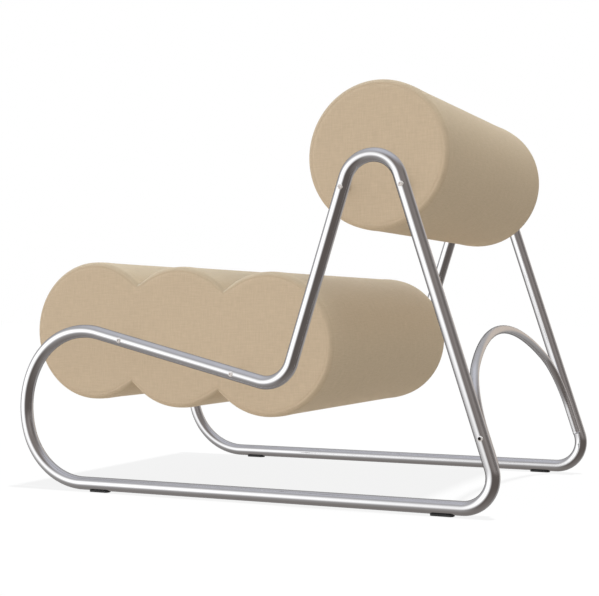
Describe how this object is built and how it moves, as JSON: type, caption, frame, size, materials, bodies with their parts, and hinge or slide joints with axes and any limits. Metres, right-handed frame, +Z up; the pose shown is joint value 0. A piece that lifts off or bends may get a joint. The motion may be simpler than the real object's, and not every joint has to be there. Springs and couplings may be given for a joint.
{
  "type": "tubular lounge chair",
  "caption": "Low lounge chair with looped chrome tube side frames, a seat of merged fabric rolls, a fabric back roll and an arched rear hoop.",
  "frame": {"origin": "on the floor, under the middle of the chair's width and depth", "axes": "+Z up, -Y to the front, +X to the sitter's left"},
  "size_m": [0.693, 0.9759, 0.756],
  "materials": {
    "chrome_tube": "polished chrome plate on bent steel tube",
    "bolt_steel": "bright plated socket bolts",
    "zinc_steel": "zinc plated, hidden",
    "black_nylon": "matt black moulded nylon",
    "beige_fabric": "plain woven upholstery fabric, beige",
    "foam": "polyurethane foam, hidden",
    "plywood": "raw birch plywood, hidden",
    "beech": "raw turned beech, hidden"
  },
  "bodies": {
    "root": {"left_side_frame": "chrome_tube", "right_side_frame": "chrome_tube", "rear_hoop": "chrome_tube", "seat_bolts": "bolt_steel", "back_bolts": "bolt_steel", "hoop_bolts": "bolt_steel", "left_joint_sleeve": "zinc_steel", "right_joint_sleeve": "zinc_steel", "hoop_end_plugs": "zinc_steel", "seat_tee_nuts": "zinc_steel", "back_tee_nuts": "zinc_steel", "seat_core_screws": "zinc_steel", "back_core_screws": "zinc_steel", "front_left_glide": "black_nylon", "front_right_glide": "black_nylon", "rear_left_glide": "black_nylon", "rear_right_glide": "black_nylon", "seat_spacers": "black_nylon", "back_spacers": "black_nylon", "seat_cover": "beige_fabric", "seat_left_end_panel": "beige_fabric", "seat_right_end_panel": "beige_fabric", "back_cover": "beige_fabric", "back_left_end_panel": "beige_fabric", "back_right_end_panel": "beige_fabric", "seat_front_foam": "foam", "seat_middle_foam": "foam", "seat_rear_foam": "foam", "back_foam": "foam", "seat_left_end_board": "plywood", "seat_right_end_board": "plywood", "back_left_end_board": "plywood", "back_right_end_board": "plywood", "seat_front_core": "beech", "seat_middle_core": "beech", "seat_rear_core": "beech", "back_core": "beech"}
  },
  "joints": []
}
